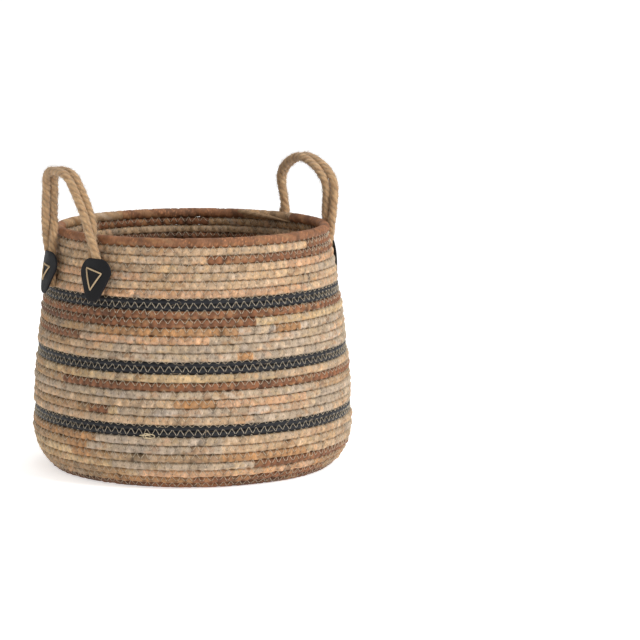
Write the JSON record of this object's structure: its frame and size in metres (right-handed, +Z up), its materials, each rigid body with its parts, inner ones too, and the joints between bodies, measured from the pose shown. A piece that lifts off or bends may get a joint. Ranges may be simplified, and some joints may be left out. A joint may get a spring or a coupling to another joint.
{
  "type": "laundry basket",
  "caption": "Round coiled-rope laundry basket with dark stripes, two upright twisted-cord loop handles and stitched leather patches.",
  "frame": {"origin": "on the floor under the middle of the base", "axes": "+Z up; handles at -X and +X; +Y away from the viewer when the left handle is at -X"},
  "size_m": [0.4318, 0.4318, 0.4107],
  "materials": {
    "natural_rope": "matte dried-husk wrapped rope, tan to brown",
    "rim_rope": "matte dried-husk wrapped rope, reddish brown",
    "black_rope": "matte dyed husk rope",
    "sewing_thread": "matte cotton thread",
    "jute_cord": "matte hairy jute",
    "black_leather": "satin black leather",
    "patch_thread": "matte waxed thread"
  },
  "bodies": {
    "basket": {"base_coil": "natural_rope", "base_top_thread": "sewing_thread", "base_bottom_thread": "sewing_thread", "lower_wall_coil": "natural_rope", "lower_black_stripe_coil": "black_rope", "lower_middle_wall_coil": "natural_rope", "middle_black_stripe_coil": "black_rope", "upper_middle_wall_coil": "natural_rope", "upper_black_stripe_coil": "black_rope", "upper_wall_coil": "natural_rope", "rim_coil": "rim_rope", "rim_rope_tail": "natural_rope", "wall_outer_thread": "sewing_thread", "wall_inner_thread": "sewing_thread", "left_front_leg_cords": "jute_cord", "left_back_leg_cords": "jute_cord", "right_front_leg_cords": "jute_cord", "right_back_leg_cords": "jute_cord", "left_front_patch": "black_leather", "left_back_patch": "black_leather", "right_front_patch": "black_leather", "right_back_patch": "black_leather", "left_front_patch_stitch": "patch_thread", "left_back_patch_stitch": "patch_thread", "right_front_patch_stitch": "patch_thread", "right_back_patch_stitch": "patch_thread"},
    "left_handle": {"left_handle_outer_cord": "jute_cord", "left_handle_inner_cord": "jute_cord"},
    "right_handle": {"right_handle_outer_cord": "jute_cord", "right_handle_inner_cord": "jute_cord"}
  },
  "joints": [
    {"name": "left_handle_fold", "type": "hinge", "parent": "basket", "child": "left_handle", "pos_m": [-0.19173, 0, 0.327], "axis": [0, -1, 0], "range_deg": [-45, 90], "stiffness_Nm_per_rad": 0.15},
    {"name": "right_handle_fold", "type": "hinge", "parent": "basket", "child": "right_handle", "pos_m": [0.19173, 0, 0.327], "axis": [0, 1, 0], "range_deg": [-45, 90], "stiffness_Nm_per_rad": 0.15}
  ]
}
